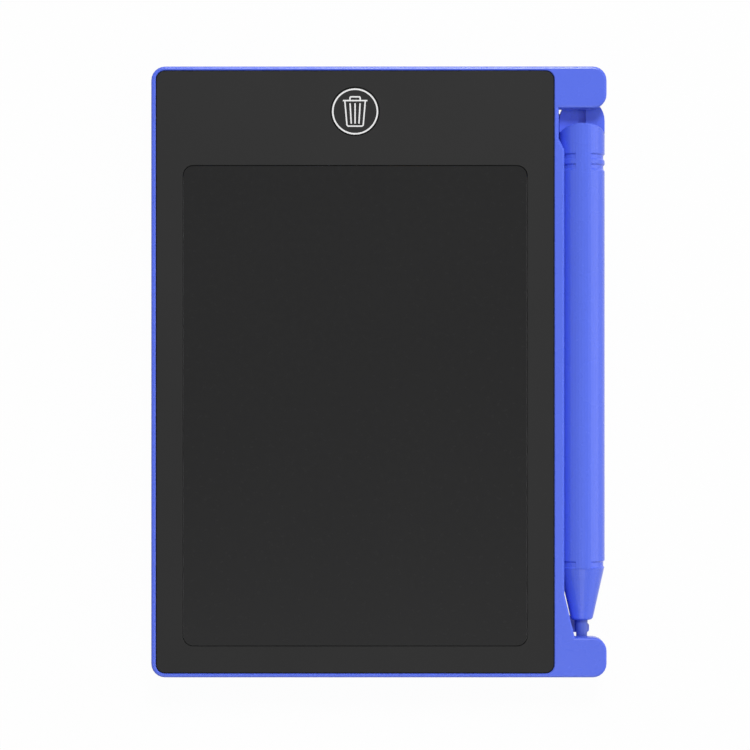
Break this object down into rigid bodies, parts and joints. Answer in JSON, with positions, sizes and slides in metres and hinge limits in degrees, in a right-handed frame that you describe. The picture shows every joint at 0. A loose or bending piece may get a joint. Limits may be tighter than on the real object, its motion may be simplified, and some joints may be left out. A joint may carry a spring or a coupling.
{
  "type": "LCD writing tablet",
  "caption": "Small portrait LCD writing tablet with a round erase button above the screen and a stylus docked in a bay along its right side.",
  "frame": {"origin": "centre of the back face that the tablet lies on", "axes": "+X to the tablet's right, the stylus side; +Y to its top edge, the button end; +Z out of the screen"},
  "size_m": [0.0858, 0.115, 0.0092],
  "materials": {
    "blue_shell": "moulded ABS with a fine satin surface",
    "black_frame": "moulded ABS, fine matte texture",
    "screen_film": "smooth dark plastic film",
    "white_tape": "soft white adhesive foam",
    "grey_board": "plain grey polystyrene sheet",
    "green_board": "green solder resist over glass fibre board",
    "polyimide": "amber flexible circuit film",
    "black_resin": "moulded black resin",
    "ferrite": "dull dark ferrite",
    "ceramic_tan": "fired tan ceramic",
    "steel": "plated steel",
    "sheet_steel": "plated spring steel strip",
    "cell_cap": "bright plated cell cap",
    "gasket": "dark sealing ring"
  },
  "bodies": {
    "tablet": {"rear_case": "blue_shell", "front_frame": "black_frame", "lcd_tape": "white_tape", "lcd_front_film": "screen_film", "lcd_back_film": "screen_film", "backing_board": "grey_board", "lcd_flex_tail": "polyimide", "circuit_board": "green_board", "switch_base": "black_resin", "switch_dome": "sheet_steel", "switch_cover": "sheet_steel", "controller_chip": "black_resin", "boost_coil": "ferrite", "ceramic_capacitor_1": "ceramic_tan", "ceramic_capacitor_2": "ceramic_tan", "ceramic_capacitor_3": "ceramic_tan", "boost_diode": "black_resin", "driver_transistor": "black_resin", "pcb_screw_left": "steel", "pcb_screw_right": "steel", "coin_cell_can": "steel", "coin_cell_gasket": "gasket", "coin_cell_cap": "cell_cap", "positive_contact": "sheet_steel", "negative_contact": "sheet_steel"},
    "erase_button": {"button_cap": "black_frame", "switch_plunger": "black_resin"},
    "battery_door": {"battery_door": "blue_shell"},
    "door_screw": {"door_screw": "steel"},
    "stylus": {"stylus_barrel": "blue_shell", "stylus_head": "blue_shell", "stylus_nib": "blue_shell"}
  },
  "joints": [
    {"name": "erase_press", "type": "slide", "parent": "tablet", "child": "erase_button", "axis": [0, 0, -1], "range_m": [0, 0.0003], "stiffness_N_per_m": 400, "springref_m": -0.0003},
    {"name": "stylus_out", "type": "slide", "parent": "tablet", "child": "stylus", "axis": [1, 0, 0], "range_m": [0, 0.012]},
    {"name": "battery_door_swing", "type": "hinge", "parent": "tablet", "child": "battery_door", "pos_m": [-0.01689, 0.02733, 0.0001], "axis": [0, 1, 0], "range_deg": [0, 70]},
    {"name": "door_screw_turn", "type": "hinge", "parent": "battery_door", "child": "door_screw", "pos_m": [0.00981, 0.02733, 0.0001], "axis": [0, 0, 1], "continuous": true}
  ]
}
